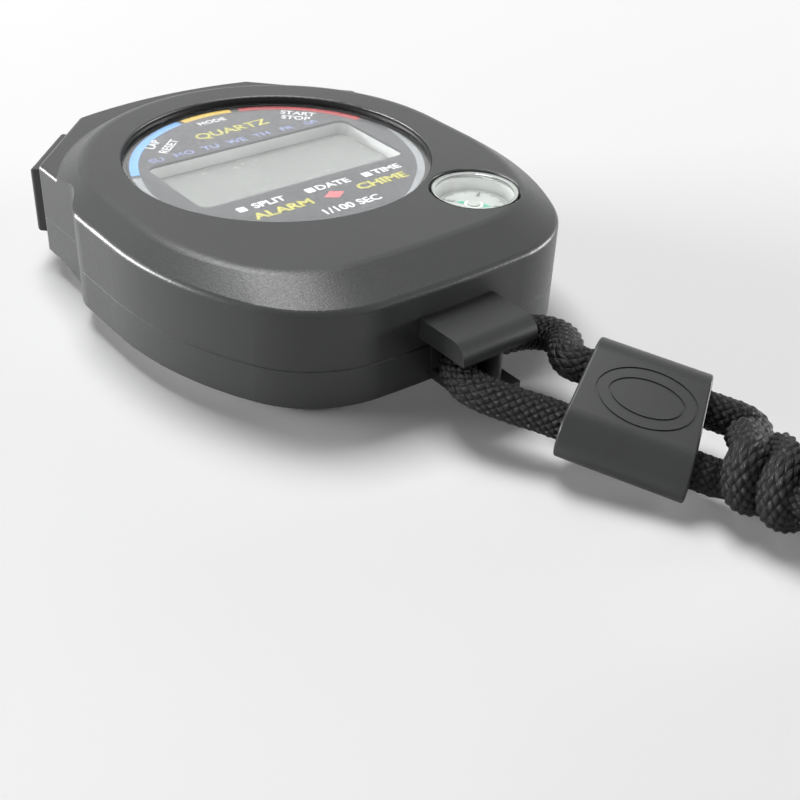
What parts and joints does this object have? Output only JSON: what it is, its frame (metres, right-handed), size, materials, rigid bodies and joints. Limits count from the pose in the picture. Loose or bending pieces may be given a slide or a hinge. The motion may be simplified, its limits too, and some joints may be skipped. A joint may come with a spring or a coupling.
{
  "type": "handheld digital stopwatch",
  "caption": "Handheld sports stopwatch with a round dial, LCD window, side buttons, small compass and a braided neck cord with slider and knot.",
  "frame": {"origin": "on the flat back face, under the centre of the round dial", "axes": "+X to the right of the dial, +Y from the lanyard end to the button end, +Z out of the dial"},
  "size_m": [0.0938, 0.2072, 0.0205],
  "materials": {
    "case_black": "moulded ABS, satin with a fine spark texture",
    "seal_rubber": "moulded silicone rubber",
    "clear_acrylic": "clear polished acrylic",
    "dial_print": "back-printed film, black with coloured arcs",
    "frame_grey": "grey moulded plastic",
    "display_glass": "display glass with polariser",
    "reflector_film": "silver grey reflector film",
    "board_green": "solder mask over glass epoxy",
    "epoxy_black": "black potting resin",
    "steel_can": "nickel plated steel",
    "contact_metal": "nickel plated spring strip",
    "brass_disc": "brass",
    "steel_screw": "zinc plated steel",
    "compass_white": "white plastic",
    "satin_black": "black polypropylene, satin",
    "cord_black": "braided nylon cord",
    "button_black": "black ABS, satin"
  },
  "bodies": {
    "case": {"front_housing": "case_black", "rear_housing": "case_black", "case_seal": "seal_rubber", "lens": "clear_acrylic", "dial_plate": "dial_print", "lcd_frame": "frame_grey", "lcd_front_glass": "display_glass", "lcd_rear_glass": "display_glass", "lcd_reflector": "reflector_film", "zebra_strip_upper": "seal_rubber", "zebra_strip_lower": "seal_rubber", "circuit_board": "board_green", "chip_blob": "epoxy_black", "crystal": "steel_can", "battery_cell": "steel_can", "battery_contact_positive": "contact_metal", "battery_contact_negative": "contact_metal", "buzzer_disc": "brass_disc", "buzzer_contact": "contact_metal", "case_screws": "steel_screw", "board_screws": "steel_screw", "compass_cup": "compass_white", "compass_dome": "clear_acrylic", "compass_pivot": "brass_disc", "lanyard_lug": "satin_black", "lanyard_knot": "cord_black", "lanyard_coil": "cord_black", "lanyard_strand_right": "cord_black", "lanyard_strand_left": "cord_black", "lanyard_tail_out": "cord_black", "lanyard_tail_back": "cord_black", "left_button_contact": "contact_metal", "mode_button_contact": "contact_metal", "right_button_contact": "contact_metal"},
    "slider": {"cord_slider": "satin_black"},
    "compass_rotor": {"compass_card": "compass_white", "compass_magnet": "steel_screw"},
    "left_key": {"left_button": "button_black"},
    "mode_key": {"mode_button": "button_black"},
    "right_key": {"right_button": "button_black"}
  },
  "joints": [
    {"name": "slider_slide", "type": "slide", "parent": "case", "child": "slider", "axis": [0.4765, -0.8723, -0.1098], "range_m": [-0.001, 0.0025]},
    {"name": "compass_spin", "type": "hinge", "parent": "case", "child": "compass_rotor", "pos_m": [0.01672, -0.02614, 0.0171], "axis": [0, 0, 1], "continuous": true},
    {"name": "left_press", "type": "slide", "parent": "case", "child": "left_key", "axis": [0.7071, -0.7071, 0], "range_m": [0, 0.0008], "stiffness_N_per_m": 1500, "springref_m": -0.0006},
    {"name": "mode_press", "type": "slide", "parent": "case", "child": "mode_key", "axis": [0, -1, 0], "range_m": [0, 0.0008], "stiffness_N_per_m": 1500, "springref_m": -0.0006},
    {"name": "right_press", "type": "slide", "parent": "case", "child": "right_key", "axis": [-0.7071, -0.7071, 0], "range_m": [0, 0.0008], "stiffness_N_per_m": 1500, "springref_m": -0.0006}
  ]
}
